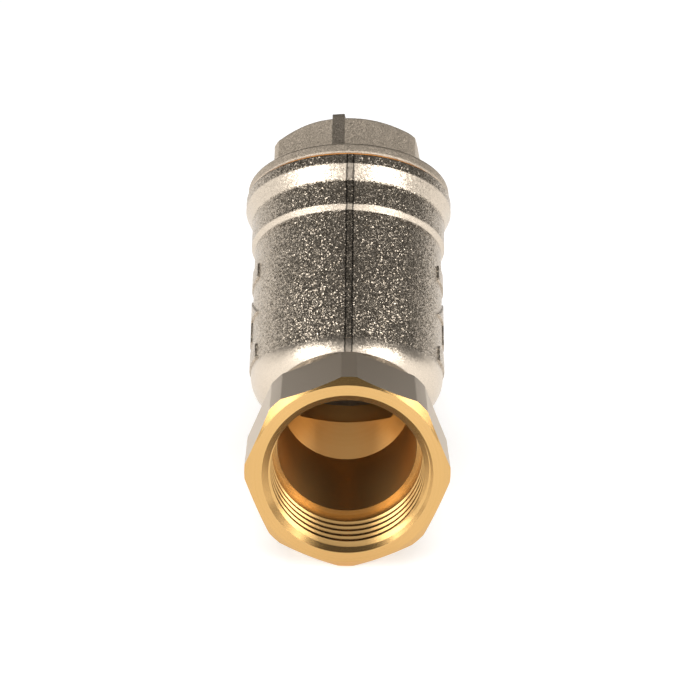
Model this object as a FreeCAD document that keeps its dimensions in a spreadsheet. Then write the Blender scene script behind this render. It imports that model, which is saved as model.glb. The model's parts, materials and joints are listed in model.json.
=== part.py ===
"""Y-pattern strainer valve with a spring check cartridge, G1 female ends.

Frame: the inlet face lies at Y = 0 with its centre at the origin, the flow runs along +Y,
and the strainer branch leans back from the flow axis, up and towards the outlet.
Millimetres and degrees. Run it as a FreeCAD macro: it writes one STEP file per sub-part.
"""
import FreeCAD, Part
import os
import re
import Sketcher

# alias: (value or formula, what it is). The sheet is the one place where a size is written.
SIZES = {
    # run of the body; the radial sizes of its ends follow the octagon
    "face_to_face": (112.0, "inlet face to outlet face"),
    "across_flats": (38.95, "spanner size of the two octagons"),
    "octagon_length": (15.2, "length of each octagon"),
    "corner_drop": (0.58, "turned off the octagons' corners"),
    "corner_radius": ("=across_flats / 2 / cos(22.5deg) - corner_drop", "radius left there"),
    "rim_inset": (0.375, "turned end face inside the flats"),
    "face_rim": ("=across_flats / 2 - rim_inset", "outer radius of the turned end faces"),
    "face_bevel": (1.1, "depth of the end bevel at the turned corners"),
    "tool_reach": (4.0, "how far outside the turned face the tool runs"),
    "neck_inset": (2.475, "inlet neck inside the flats"),
    "neck_radius": ("=across_flats / 2 - neck_inset", "outside of the inlet neck"),
    "tail_slope": (3.0, "half length of the slope from the neck to the outlet leg"),
    # pipe threads, G1
    "pipe_wall": (2.8505, "metal outside the thread at the flats"),
    "pipe_major": ("=across_flats - 2 * pipe_wall", "major diameter"),
    "tap_depth": (1.2495, "from the major to the tapping drill, in radius"),
    "pipe_minor": ("=pipe_major - 2 * tap_depth", "bore left by the tapping drill"),
    "pipe_pitch": (2.309, "pitch, 11 to the inch"),
    "pipe_tip": (0.05, "half width of the groove's bottom"),
    "pipe_slope": (0.5206, "half width gained per millimetre, 55 degree thread"),
    "root_play": (0.07, "groove's bottom inside the major diameter"),
    "mouth_lead": (0.3755, "lead-in bevel outside the major diameter"),
    "mouth_radius": ("=pipe_major / 2 + mouth_lead", "outer radius of the lead-in bevel"),
    "thread_depth": (12.0, "end of full thread, from the end face"),
    "port_depth": (14.3, "depth of the threaded counterbore"),
    "cut_over": (0.1, "how far a cut runs past the surface it opens"),
    # waterways
    "stop_width": (1.025, "step that stops the pipe"),
    "inlet_bore": ("=pipe_minor / 2 - stop_width", "radius of the inlet bore"),
    "inlet_bore_end": (41.0, "depth of the inlet bore's cylinder"),
    "drill_cone": ("=inlet_bore / tan(60deg)", "depth of its 120 degree end"),
    "seat_bore": (13.0, "radius of the bore from the inlet up into the strainer"),
    "seat_bore_start": (1.34, "its flat bottom, along the branch"),
    "chamber_radius": (17.0, "strainer chamber"),
    "ledge_height": (7.0, "floor of the chamber, along the branch"),
    "recess_depth": (1.0, "depth of the ring that centres the screen"),
    # branch
    "branch_place": (36.0, "where the branch axis crosses the flow axis"),
    "branch_angle": (45.0, "angle of the branch above the flow axis"),
    "barrel_radius": (20.9, "outside of the branch"),
    "barrel_start": (-0.6, "bottom of the barrel"),
    "barrel_round": (7.5, "rounding of the bottom"),
    "shoulder_start": (37.2, "low end of the shoulder"),
    "shoulder_run": (1.0, "length of the shoulder's slope"),
    "shoulder_radius": (21.65, "outside above the shoulder"),
    "flare_start": (44.0, "start of the flare below the collar"),
    "collar_start": (47.4, "start of the collar"),
    "collar_radius": (23.2, "outside of the collar"),
    "collar_top": (49.7, "machined top face"),
    "flash_width": (1.5, "width of the parting line"),
    "flash_height": (0.16, "how far the parting line stands out"),
    # raised side marks, a flow arrow between two bars, along the branch and across it
    "mark_height": (0.35, "how far the side marks stand out"),
    "low_bar": (8.0, "start of the low bar"),
    "high_bar": (27.5, "start of the high bar"),
    "bar_width": (3.5, "width of a bar"),
    "bar_half": (7.5, "half length of a bar"),
    "arrow_start": (14.0, "tail of the arrow"),
    "arrow_neck": (19.0, "start of the arrow's head"),
    "arrow_tip": (25.0, "point of the arrow"),
    "shaft_half": (2.4, "half width of the arrow's shaft"),
    "head_half": (7.8, "half width of the arrow's head"),
    # cap thread
    "cap_pitch": (2.0, "pitch"),
    "cap_crest": (18.9, "crest radius on the cap"),
    "cap_root": (17.75, "root radius on the cap"),
    "nut_crest": (18.1, "crest radius in the body"),
    "nut_root": (19.2, "root radius in the body"),
    "nut_start": (42.0, "first full thread in the body, along the branch"),
    "relief_start": (39.9, "start of the thread relief"),
    "relief_slope": (2.0, "length of the slope up to the relief"),
    "nut_tip": (0.30, "half width of the groove's bottom in the body"),
    "cap_tip": (0.113, "half width of the groove's bottom on the cap"),
    "flank_slope": (0.5774, "half width gained per millimetre, 60 degree thread"),
    "crest_over": (0.15, "how far the cap's groove runs past its crest"),
    "nut_over": (0.05, "how far the body's groove runs past its crest"),
    # cap
    "flange_radius": (22.8, "cap flange"),
    "flange_thick": (2.5, "thickness of the flange"),
    "flange_round": (0.5, "rounding of the flange's edge"),
    "gasket_thick": (0.5, "flat gasket"),
    "gasket_inset": (0.15, "gasket inside the flange's edge"),
    "gasket_out": ("=flange_radius - gasket_inset", "outer radius of the gasket"),
    "gasket_in": (19.5, "inner radius of the gasket"),
    "seal_play": (0.03, "gap either side of a seal that parts with its face"),
    "hex_flats": (32.1, "spanner size of the cap"),
    "hex_height": (10.5, "height of the hexagon"),
    "hex_trim": (17.8, "radius that the corners are trimmed to"),
    "hex_bevel": (1.15, "drop of the top bevel at the trimmed corners"),
    "hex_turn": (21.5, "rest position of the cap about its axis"),
    "strip_width": (2.7, "width of the parting strip on two corners"),
    "skirt_length": (8.3, "length of the cap's threaded skirt"),
    "skirt_neck": (1.9, "plain neck between the thread and the flange"),
    "skirt_bevel": (0.6, "lead bevel of the skirt"),
    "socket_radius": (13.8, "socket for the screen's top"),
    "socket_end": (4.8, "depth of the socket above the flange's underside"),
    "socket_ledge": (2.0, "ledge that the screen's top meets"),
    "socket_taper": (1.0, "taper of the hollow above the ledge"),
    "socket_rise": (2.0, "depth of the hollow above the ledge"),
    # screen
    "screen_radius": (13.5, "outside of the screen"),
    "screen_wall": (0.5, "sheet thickness"),
    "screen_play": (0.05, "gap at each end of the screen"),
    "recess_play": (0.2, "gap round the foot of the screen"),
    "hole_radius": (0.9, "perforation"),
    "hole_pitch": (3.4, "from one row of holes to the next"),
    "hole_count": (16, "holes in a row"),
    "hole_margin": (2.6, "plain edge at each end, to the first row's centres"),
    # check cartridge; its radial sizes follow the bore that it sits in
    "nest_step": (1.175, "nest inside the outlet's tapped bore"),
    "nest_radius": ("=pipe_minor / 2 - nest_step", "bore for the cartridge"),
    "nest_start": (75.0, "shoulder that the cartridge rests on"),
    "shoulder_width": (2.4, "width of that shoulder"),
    "tail_bore": ("=nest_radius - shoulder_width", "bore from the chamber to the cartridge"),
    "tail_bore_start": (53.0, "where it starts, along the flow"),
    "tail_wall": (3.8, "wall of the outlet leg at the nest"),
    "tail_radius": ("=nest_radius + tail_wall", "outside of the outlet leg"),
    "housing_play": (0.08, "gap round the cartridge"),
    "housing_wall": (1.8, "from the nest to the cartridge's inside"),
    "housing_bore": ("=nest_radius - housing_wall", "inside of the cartridge"),
    "housing_bevel": (0.4, "lead bevel of the cartridge"),
    "seat_lip": (2.9, "width of the valve seat"),
    "seat_orifice": ("=housing_bore - seat_lip", "waterway through the seat"),
    "seat_height": (4.0, "seat face, above the shoulder"),
    "seat_bevel": (1.0, "bevel at the orifice's entry"),
    "guide_land": (17.6, "where the guide sits, above the shoulder"),
    "guide_thick": (2.9, "rim of the guide"),
    "guide_step": (1.2, "guide inside the nest"),
    "guide_radius": ("=nest_radius - guide_step", "outside of the guide"),
    "fit_play": (0.06, "gap round fixed pieces"),
    "oring_thick": (1.8, "section diameter of the housing's O-ring"),
    "oring_groove": (2.4, "width of its groove"),
    "oring_sink": (1.85, "groove's bottom inside the nest"),
    "oring_root": ("=nest_radius - oring_sink", "radius of the groove's bottom"),
    "oring_place": (2.2, "middle of the groove, above the shoulder"),
    "seal_lap": (1.3, "how far the seal overlaps the seat"),
    "seal_radius": ("=seat_orifice + seal_lap", "poppet seal"),
    "seal_thick": (1.8, "poppet seal"),
    "seal_hole": (4.0, "poppet seal"),
    "keeper_room": (1.5, "keeper inside the orifice"),
    "keeper_radius": ("=seat_orifice - keeper_room", "disc that clamps the seal"),
    "keeper_thick": (1.5, "disc that clamps the seal"),
    "keeper_bevel": (0.4, "disc that clamps the seal"),
    "spigot_radius": (2.5, "spigot that the keeper is pressed on"),
    "disc_edge": (0.1, "disc outside the seal"),
    "disc_radius": ("=seal_radius + disc_edge", "poppet disc"),
    "disc_thick": (2.5, "poppet disc"),
    "disc_bevel": (0.8, "poppet disc"),
    "stem_radius": (2.4, "poppet stem"),
    "stem_length": (13.5, "poppet stem, from the disc's back"),
    "stem_foot": (1.0, "bevel where the stem meets the disc"),
    "stem_bevel": (0.6, "bevel of the stem's end"),
    "stem_play": (0.1, "running gap in the guide's hub"),
    "stem_lead": (0.9, "lead-in bevel of the hub"),
    "lift": (5.0, "travel of the poppet"),
    "hub_radius": (4.0, "guide hub"),
    "spoke_width": (1.8, "guide spokes"),
    "rim_wall": (1.8, "guide rim"),
    "spring_radius": (5.6, "mean radius of the coil"),
    "spring_wire": (0.8, "wire diameter"),
    "spring_turns": (4.5, "turns"),
    "clip_play": (0.05, "gap round the retaining ring"),
    "clip_thick": (1.2, "retaining ring"),
    "clip_bite": (0.8, "depth of its groove"),
    "clip_groove": ("=nest_radius + clip_bite", "radius of the groove's bottom"),
    "clip_out": ("=clip_groove - clip_play", "retaining ring"),
    "clip_reach": (2.0, "how far it stands into the nest"),
    "clip_in": ("=nest_radius - clip_reach", "retaining ring"),
    "clip_gap": (7.0, "opening of the retaining ring"),
}

doc = FreeCAD.newDocument("StrainerCheckValve")
sheet = doc.addObject("Spreadsheet::Sheet", "Sizes")
for row, (alias, (value, note)) in enumerate(SIZES.items(), start=1):
    sheet.set(f"A{row}", note)
    sheet.set(f"B{row}", str(value))
    sheet.setAlias(f"B{row}", alias)
doc.recompute()


def bound(text):
    """An expression in which every size is read from the sheet."""
    return re.sub(r"[a-z]+(?:_[a-z]+)*", lambda word: "Sizes." + word.group()
                  if word.group() in SIZES else word.group(), text)


def bind(item, **sizes):
    """Bind properties to the sheet; two underscores stand for a point."""
    for path, text in sizes.items():
        item.setExpression(path.replace("__", "."), bound(text))


# Offset of a sketch on a YZ plane whose X then runs along the branch.
BRANCH = {"Base__x": "branch_place", "Rotation__Angle": "branch_angle * 1deg"}


def new_body(name):
    """A named sub-part."""
    body = doc.addObject("PartDesign::Body", name)
    body.Label = name
    return body


def origin_of(body, role):
    """One of the body's own origin planes or axes."""
    return [item for item in body.Origin.OriginFeatures if item.Role == role][0]


def attach(item, body, role, **offset):
    """Attach a sketch or primitive to an origin plane, with a bound offset."""
    item.AttachmentSupport = [(origin_of(body, role), "")]
    item.MapMode = "FlatFace"
    for path, text in offset.items():
        item.setExpression("AttachmentOffset." + path.replace("__", "."), bound(text))


def outline(body, name, role, corners, **offset):
    """A closed sketch of straight sides; each corner is a pair of size expressions."""
    sketch = body.newObject("Sketcher::SketchObject", name)
    attach(sketch, body, role, **offset)
    add_loop(sketch, corners)
    return sketch


def add_loop(sketch, corners):
    """Add a closed loop to a sketch, every corner held from the sketch's origin."""
    first = sketch.GeometryCount
    count = len(corners)
    rough = [FreeCAD.Vector(10 + index, 10 + index * index % 7, 0) for index in range(count)]
    for index in range(count):
        sketch.addGeometry(Part.LineSegment(rough[index], rough[(index + 1) % count]), False)
    for index in range(count):
        following = first + (index + 1) % count
        sketch.addConstraint(Sketcher.Constraint("Coincident", first + index, 2, following, 1))
    for index, (across, up) in enumerate(corners):
        hold(sketch, "DistanceX", first + index, across, -2)
        hold(sketch, "DistanceY", first + index, up, -1)


def hold(sketch, kind, line, text, axis):
    """Hold a line's start on an axis, or at a bound distance from it."""
    if text == "0":
        sketch.addConstraint(Sketcher.Constraint("PointOnObject", line, 1, axis))
        return
    number = sketch.addConstraint(Sketcher.Constraint(kind, -1, 1, line, 1, 10.0))
    sketch.setExpression(f"Constraints[{number}]", bound(text))


def turn(body, name, sketch, axis="H_Axis", cut=False):
    """Revolve a sketch all round, to add or to cut."""
    kind = "PartDesign::Groove" if cut else "PartDesign::Revolution"
    feature = body.newObject(kind, name)
    feature.Profile = sketch
    feature.ReferenceAxis = (sketch, [axis])
    feature.Angle = 360
    return feature


def helix_cut(body, name, sketch, axis, height):
    """Cut a thread groove of the sketch's section; height is an expression."""
    pitch = "cap_pitch" if "cap" in name else "pipe_pitch"
    thread = body.newObject("PartDesign::SubtractiveHelix", name)
    thread.Profile = sketch
    thread.ReferenceAxis = (sketch, [axis])
    thread.Mode = "pitch-height-angle"
    bind(thread, Pitch=pitch, Height=height)
    return thread


def round_edges(body, name, size, test):
    """Round the circular edges of the body's tip that pass the test."""
    doc.recompute()
    base = body.Tip
    picked = []
    for number, edge in enumerate(base.Shape.Edges, start=1):
        if isinstance(edge.Curve, Part.Circle) and test(edge.Curve):
            picked.append(f"Edge{number}")
    fillet = body.newObject("PartDesign::Fillet", name)
    fillet.Base = (base, picked)
    bind(fillet, Radius=size)
    return fillet


def size(alias):
    """A size as a number, for tests and for shapes made in code."""
    return float(sheet.get(alias))


def on_branch(body, height):
    """Stand a body on the branch axis, at a height along it."""
    body.Placement = FreeCAD.Placement(
        FreeCAD.Vector(), FreeCAD.Rotation(FreeCAD.Vector(1, 0, 0), -45))
    bind(body, Placement__Base__y=f"branch_place + ({height}) * cos(branch_angle * 1deg)",
         Placement__Base__z=f"({height}) * sin(branch_angle * 1deg)",
         Placement__Rotation__Angle="(branch_angle - 90) * 1deg")


def same(first, second):
    """Whether two lengths agree to a hundredth of a millimetre."""
    return abs(first - second) < 0.01


# ---------------------------------------------------------------- valve body

def barrel(body):
    """The branch's outside, rounded at its foot and shouldered below the collar."""
    top = "shoulder_start + shoulder_run"
    sketch = outline(body, "barrel_outline", "YZ_Plane", [
        ("barrel_start", "0"), ("barrel_start", "barrel_radius"),
        ("shoulder_start", "barrel_radius"), (top, "shoulder_radius"),
        ("flare_start", "shoulder_radius"), ("collar_start", "collar_radius"),
        ("collar_top", "collar_radius"), ("collar_top", "0")], **BRANCH)
    turn(body, "barrel", sketch)
    round_edges(body, "barrel_foot", "barrel_round",
                lambda ring: same(ring.Radius, size("barrel_radius")) and ring.Center.z < size("barrel_round"))


def octagon(body, name, place):
    """An octagon, corner up."""
    corner = "(across_flats / 2 / cos(22.5deg))"
    side = f"{corner} * cos(45deg)"
    section = outline(body, name + "_outline", "XZ_Plane", [
        (corner, "0"), (side, side), ("0", corner), (f"-{side}", side), (f"-{corner}", "0"),
        (f"-{side}", f"-{side}"), ("0", f"-{corner}"), (side, f"-{side}")], Base__z=place)
    pad = body.newObject("PartDesign::Pad", name)
    pad.Profile = section
    bind(pad, Length="octagon_length")


def run(body):
    """The straight run with its two octagons, their corners turned down and their ends bevelled."""
    sketch = outline(body, "run_outline", "YZ_Plane", [
        ("octagon_length / 2", "0"), ("octagon_length / 2", "neck_radius"),
        ("tail_bore_start - tail_slope", "neck_radius"),
        ("tail_bore_start + tail_slope", "tail_radius"),
        ("face_to_face - octagon_length / 2", "tail_radius"),
        ("face_to_face - octagon_length / 2", "0")])
    turn(body, "run", sketch)
    octagon(body, "inlet_octagon", "-octagon_length")
    octagon(body, "outlet_octagon", "-face_to_face")
    reach = "face_rim + tool_reach"
    for end, place in (("inlet", "{}"), ("outlet", "face_to_face - ({})")):
        face, bevel = place.format("0"), place.format("face_bevel")
        back = place.format("octagon_length + cut_over")
        sketch = outline(body, end + "_turning_outline", "YZ_Plane", [
            (face, "face_rim"), (face, reach), (back, reach), (back, "corner_radius"),
            (bevel, "corner_radius")])
        turn(body, end + "_turning", sketch, cut=True)


def relief(body):
    """Parting line and the raised side marks: a flow arrow between two plain bars."""
    foot = "barrel_start + barrel_round"
    barrel_out = "barrel_radius + flash_height"
    shoulder_out = "shoulder_radius + flash_height"
    collar_out = "collar_radius + flash_height / 2"
    sketch = outline(body, "flash_outline", "YZ_Plane", [
        (foot, "0"), (foot, barrel_out), ("shoulder_start", barrel_out),
        ("shoulder_start + shoulder_run", shoulder_out), ("flare_start", shoulder_out),
        ("collar_start", collar_out), ("collar_top", collar_out), ("collar_top", "0")], **BRANCH)
    flash = body.newObject("PartDesign::Pad", "flash")
    flash.Profile = sketch
    flash.SideType = "Symmetric"
    bind(flash, Length="flash_width")
    marks = outline(body, "mark_outline", "YZ_Plane", [
        ("low_bar", "-bar_half"), ("low_bar + bar_width", "-bar_half"),
        ("low_bar + bar_width", "bar_half"), ("low_bar", "bar_half")], **BRANCH)
    add_loop(marks, [
        ("arrow_start", "-shaft_half"), ("arrow_neck", "-shaft_half"), ("arrow_neck", "-head_half"),
        ("arrow_tip", "0"), ("arrow_neck", "head_half"), ("arrow_neck", "shaft_half"),
        ("arrow_start", "shaft_half")])
    add_loop(marks, [
        ("high_bar", "-bar_half"), ("high_bar + bar_width", "-bar_half"),
        ("high_bar + bar_width", "bar_half"), ("high_bar", "bar_half")])
    raised = body.newObject("PartDesign::Pad", "marks")
    raised.Profile = marks
    raised.SideType = "Symmetric"
    bind(raised, Length="2 * (barrel_radius + mark_height)")
    # The pad runs square; this ring takes it down to an even height round the barrel.
    trim = outline(body, "mark_trim_outline", "YZ_Plane", [
        ("low_bar - cut_over", "barrel_radius + mark_height"),
        ("high_bar + bar_width + cut_over", "barrel_radius + mark_height"),
        ("high_bar + bar_width + cut_over", "2 * barrel_radius"),
        ("low_bar - cut_over", "2 * barrel_radius")], **BRANCH)
    turn(body, "mark_trim", trim, cut=True)


def waterways(body):
    """All the bores of the body."""
    minor = "pipe_minor / 2"
    lead = f"mouth_radius - {minor}"
    inlet = outline(body, "inlet_bores", "YZ_Plane", [
        ("0", "0"), ("0", "mouth_radius"), (lead, minor), ("port_depth", minor),
        ("port_depth", "inlet_bore"), ("inlet_bore_end", "inlet_bore"),
        ("inlet_bore_end + drill_cone", "0")])
    turn(body, "inlet_way", inlet, cut=True)
    branch = outline(body, "branch_bores", "YZ_Plane", [
        ("seat_bore_start", "0"), ("seat_bore_start", "seat_bore"),
        ("ledge_height - recess_depth", "seat_bore"),
        ("ledge_height - recess_depth", "screen_radius + recess_play"),
        ("ledge_height", "screen_radius + recess_play"), ("ledge_height", "chamber_radius"),
        ("relief_start - relief_slope", "chamber_radius"), ("relief_start", "nut_root + cut_over"),
        ("nut_start", "nut_root + cut_over"), ("nut_start", "nut_crest"),
        ("collar_top", "nut_crest"), ("collar_top", "0")], **BRANCH)
    turn(body, "branch_way", branch, cut=True)
    face = "face_to_face"
    port = f"{face} - port_depth"
    clip = "nest_start + guide_land + guide_thick"
    outlet = outline(body, "outlet_bores", "YZ_Plane", [
        ("tail_bore_start", "0"), ("tail_bore_start", "tail_bore"), ("nest_start", "tail_bore"),
        ("nest_start", "nest_radius"), (clip, "nest_radius"), (clip, "clip_groove"),
        (f"{clip} + clip_thick + 2 * clip_play", "clip_groove"),
        (f"{clip} + clip_thick + 2 * clip_play", "nest_radius"), (port, "nest_radius"),
        (port, minor), (f"{face} - ({lead})", minor), (face, "mouth_radius"), (face, "0")])
    turn(body, "outlet_way", outlet, cut=True)


def body_threads(body):
    """Pipe threads of 55 degrees in both ends and the cap's thread in the branch."""
    crest = "pipe_minor / 2 - cut_over"
    root = "pipe_major / 2 - root_play"
    wide = f"pipe_tip + ({root} - ({crest})) * pipe_slope"
    for end, start in (("inlet", "-pipe_pitch"),
                       ("outlet", "face_to_face - thread_depth")):
        tooth = outline(body, end + "_tooth", "YZ_Plane", [
            (f"{start} - ({wide})", crest), (f"{start} - pipe_tip", root),
            (f"{start} + pipe_tip", root), (f"{start} + {wide}", crest)])
        helix_cut(body, end + "_thread", tooth, "H_Axis", "thread_depth + pipe_pitch")
    low = "nut_start - cap_pitch / 2"
    inner = "nut_crest - nut_over"
    spread = f"nut_tip + (nut_root - ({inner})) * flank_slope"
    tooth = outline(body, "nut_tooth", "YZ_Plane", [
        (f"{low} - ({spread})", inner), (f"{low} - nut_tip", "nut_root"),
        (f"{low} + nut_tip", "nut_root"), (f"{low} + {spread}", inner)], **BRANCH)
    helix_cut(body, "cap_nut_thread", tooth, "H_Axis",
              "collar_top - nut_start + cap_pitch * 1.5")


def make_valve_body():
    """Forged brass body."""
    body = new_body("valve_body")
    barrel(body)
    relief(body)
    run(body)
    waterways(body)
    body_threads(body)
    return body


# ---------------------------------------------------------------- cap and screen

def make_cap():
    """Forged brass cap, built up from the underside of its flange."""
    body = new_body("bonnet_cap")
    on_branch(body, "collar_top + gasket_thick + 2 * seal_play")
    flange = outline(body, "flange_outline", "XZ_Plane", [
        ("0", "0"), ("flange_radius", "0"), ("flange_radius", "flange_thick"),
        ("0", "flange_thick")])
    turn(body, "flange", flange, "V_Axis")
    round_edges(body, "flange_edge", "flange_round", lambda ring: ring.Radius > 1)
    prism = body.newObject("PartDesign::AdditivePrism", "hexagon")
    prism.Polygon = 6
    attach(prism, body, "XY_Plane", Rotation__Angle="hex_turn * 1deg", Base__z="flange_thick / 2")
    bind(prism, Circumradius="hex_flats / 2 / cos(30deg)", Height="hex_height + flange_thick / 2")
    top = "flange_thick + hex_height"
    trim = outline(body, "hexagon_trim_outline", "XZ_Plane", [
        ("hex_flats / 2", top), ("hex_flats", top), ("hex_flats", "flange_thick"),
        ("hex_trim", "flange_thick"), ("hex_trim", f"{top} - hex_bevel")])
    turn(body, "hexagon_trim", trim, "V_Axis", cut=True)
    strip = outline(body, "strip_outline", "XY_Plane", [
        ("-hex_trim", "-strip_width / 2"), ("hex_trim", "-strip_width / 2"),
        ("hex_trim", "strip_width / 2"), ("-hex_trim", "strip_width / 2")],
        Rotation__Angle="(hex_turn + 60) * 1deg", Base__z="flange_thick / 2")
    corner_strip = body.newObject("PartDesign::Pad", "strip")
    corner_strip.Profile = strip
    bind(corner_strip, Length="hex_height + flange_thick / 2")
    skirt = outline(body, "skirt_outline", "XZ_Plane", [
        ("0", "flange_thick / 2"), ("cap_root", "flange_thick / 2"), ("cap_root", "-skirt_neck"),
        ("cap_crest", "cap_root - cap_crest - skirt_neck"),
        ("cap_crest", "skirt_bevel - skirt_length"), ("cap_crest - skirt_bevel", "-skirt_length"),
        ("0", "-skirt_length")])
    turn(body, "skirt", skirt, "V_Axis")
    hollow = outline(body, "socket_outline", "XZ_Plane", [
        ("0", "-skirt_length"), ("socket_radius", "-skirt_length"), ("socket_radius", "socket_end"),
        ("socket_radius - socket_ledge", "socket_end"),
        ("socket_radius - socket_ledge - socket_taper", "socket_end + socket_rise"),
        ("0", "socket_end + socket_rise")])
    turn(body, "socket", hollow, "V_Axis", cut=True)
    # This sketch lies a quarter turn on from the body's, and a ridge fills each groove of the
    # other, so the cap's groove starts a quarter and a half pitch on from the body's.
    start = "nut_start - cap_pitch / 2 - cap_pitch / 4"
    low = f"{start} - (collar_top + gasket_thick + 2 * seal_play)"
    outer = "cap_crest + crest_over"
    spread = f"cap_tip + ({outer} - cap_root) * flank_slope"
    tooth = outline(body, "cap_tooth", "XZ_Plane", [
        (outer, f"{low} - ({spread})"), ("cap_root", f"{low} - cap_tip"),
        ("cap_root", f"{low} + cap_tip"), (outer, f"{low} + {spread}")])
    helix_cut(body, "cap_thread", tooth, "V_Axis", "skirt_length")
    return body


def make_gasket():
    """Flat fibre gasket between the collar and the flange."""
    body = new_body("cap_gasket")
    on_branch(body, "collar_top + seal_play")
    ring = outline(body, "gasket_outline", "XZ_Plane", [
        ("gasket_in", "0"), ("gasket_out", "0"), ("gasket_out", "gasket_thick"),
        ("gasket_in", "gasket_thick")])
    turn(body, "ring", ring, "V_Axis")
    return body


def make_screen():
    """Perforated stainless tube, held between the ledge and the cap's socket."""
    foot = size("ledge_height") - size("recess_depth") + size("screen_play")
    head = (size("collar_top") + size("gasket_thick") + 2 * size("seal_play")
            + size("socket_end") - size("screen_play"))
    outer = size("screen_radius")
    inner = outer - size("screen_wall")
    tube = Part.makeCylinder(outer, head - foot).cut(Part.makeCylinder(inner, head - foot))
    count = int(size("hole_count"))
    bores = []
    height = size("hole_margin")
    while height < head - foot - size("hole_margin"):
        for place in range(count):
            bore = Part.makeCylinder(size("hole_radius"), 3 * size("screen_wall"),
                                     FreeCAD.Vector(inner - size("screen_wall"), 0, height),
                                     FreeCAD.Vector(1, 0, 0))
            stagger = 0.5 * (len(bores) // count % 2)
            bore.rotate(FreeCAD.Vector(), FreeCAD.Vector(0, 0, 1), 360 * (place + stagger) / count)
            bores.append(bore)
        height += size("hole_pitch")
    screen = doc.addObject("Part::Feature", "strainer_screen")
    screen.Label = "strainer_screen"
    screen.Shape = tube.cut(bores)
    angle = size("branch_angle")
    lean = FreeCAD.Rotation(FreeCAD.Vector(1, 0, 0), angle - 90)
    start = FreeCAD.Vector(0, size("branch_place"), 0) + lean.multVec(FreeCAD.Vector(0, 0, foot))
    screen.Placement = FreeCAD.Placement(start, lean)
    return screen


# ---------------------------------------------------------------- check cartridge

def along_run(body, place):
    """Stand a body on the flow axis: its own Z looks downstream from the given place."""
    body.Placement = FreeCAD.Placement(FreeCAD.Vector(),
                                       FreeCAD.Rotation(FreeCAD.Vector(1, 0, 0), -90))
    bind(body, Placement__Base__y=place)


def turned(name, place, corners):
    """A piece turned about the flow axis."""
    body = new_body(name)
    along_run(body, place)
    turn(body, "turned", outline(body, "section", "XZ_Plane", corners), "V_Axis")
    return body


def make_housing():
    """Cartridge housing with the seat, O-ring groove and the land for the guide."""
    out = "nest_radius - housing_play"
    low = "oring_place - oring_groove / 2"
    high = "oring_place + oring_groove / 2"
    end = "guide_land + guide_thick"
    return turned("check_housing", "nest_start", [
        ("seat_orifice + seat_bevel", "0"), (f"{out} - housing_bevel", "0"),
        (out, "housing_bevel"), (out, low),
        ("oring_root", low), ("oring_root", high), (out, high), (out, end),
        ("guide_radius + fit_play", end), ("guide_radius + fit_play", "guide_land"),
        ("housing_bore", "guide_land"), ("housing_bore", "seat_height"),
        ("seat_orifice", "seat_height"), ("seat_orifice", "seat_bevel")])


def make_ring(name, place, mean, thick):
    """A round-section ring about the flow axis."""
    torus = doc.addObject("Part::Torus", name)
    torus.Label = name
    torus.Placement = FreeCAD.Placement(FreeCAD.Vector(),
                                        FreeCAD.Rotation(FreeCAD.Vector(1, 0, 0), -90))
    bind(torus, Radius1=mean, Radius2=f"({thick}) / 2", Placement__Base__y=place)
    return torus


def make_poppet():
    """Disc and stem in one, with a spigot for the seal and its keeper."""
    back = "seal_thick + disc_thick"
    return turned("check_poppet", "nest_start + seat_height + seal_play", [
        ("0", "-keeper_thick"), ("spigot_radius", "-keeper_thick"), ("spigot_radius", "0"),
        ("seal_hole - fit_play", "0"), ("seal_hole - fit_play", "seal_thick"),
        ("disc_radius", "seal_thick"), ("disc_radius", f"{back} - disc_bevel"),
        ("disc_radius - disc_bevel", back), ("stem_radius + stem_foot", back),
        ("stem_radius", f"{back} + stem_foot"),
        ("stem_radius", f"{back} + stem_length - stem_bevel"),
        ("stem_radius - stem_bevel", f"{back} + stem_length"),
        ("0", f"{back} + stem_length")])


def make_guide():
    """Guide: rim, four spokes and the hub that carries the stem and stops the disc."""
    body = new_body("check_guide")
    along_run(body, "nest_start + guide_land")
    rim = outline(body, "rim_outline", "XZ_Plane", [
        ("guide_radius - rim_wall", "0"), ("guide_radius", "0"), ("guide_radius", "guide_thick"),
        ("guide_radius - rim_wall", "guide_thick")])
    turn(body, "rim", rim, "V_Axis")
    for name, role in (("cross", "XZ_Plane"), ("upright", "YZ_Plane")):
        spoke = outline(body, name + "_outline", role, [
            ("rim_wall - guide_radius", "0"), ("guide_radius - rim_wall", "0"),
            ("guide_radius - rim_wall", "guide_thick"), ("rim_wall - guide_radius", "guide_thick")])
        bar = body.newObject("PartDesign::Pad", name)
        bar.Profile = spoke
        bar.SideType = "Symmetric"
        bind(bar, Length="spoke_width")
    stop = "seat_height + seal_play + seal_thick + disc_thick + lift + fit_play - guide_land"
    hub = outline(body, "hub_outline", "XZ_Plane", [
        ("0", stop), ("hub_radius", stop), ("hub_radius", "guide_thick"), ("0", "guide_thick")])
    turn(body, "hub", hub, "V_Axis")
    hole = outline(body, "stem_hole_outline", "XZ_Plane", [
        ("0", stop), ("stem_radius + stem_play + stem_lead", stop),
        ("stem_radius + stem_play", f"{stop} + stem_lead"),
        ("stem_radius + stem_play", "guide_thick"),
        ("0", "guide_thick")])
    turn(body, "stem_hole", hole, "V_Axis", cut=True)
    return body


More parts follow.
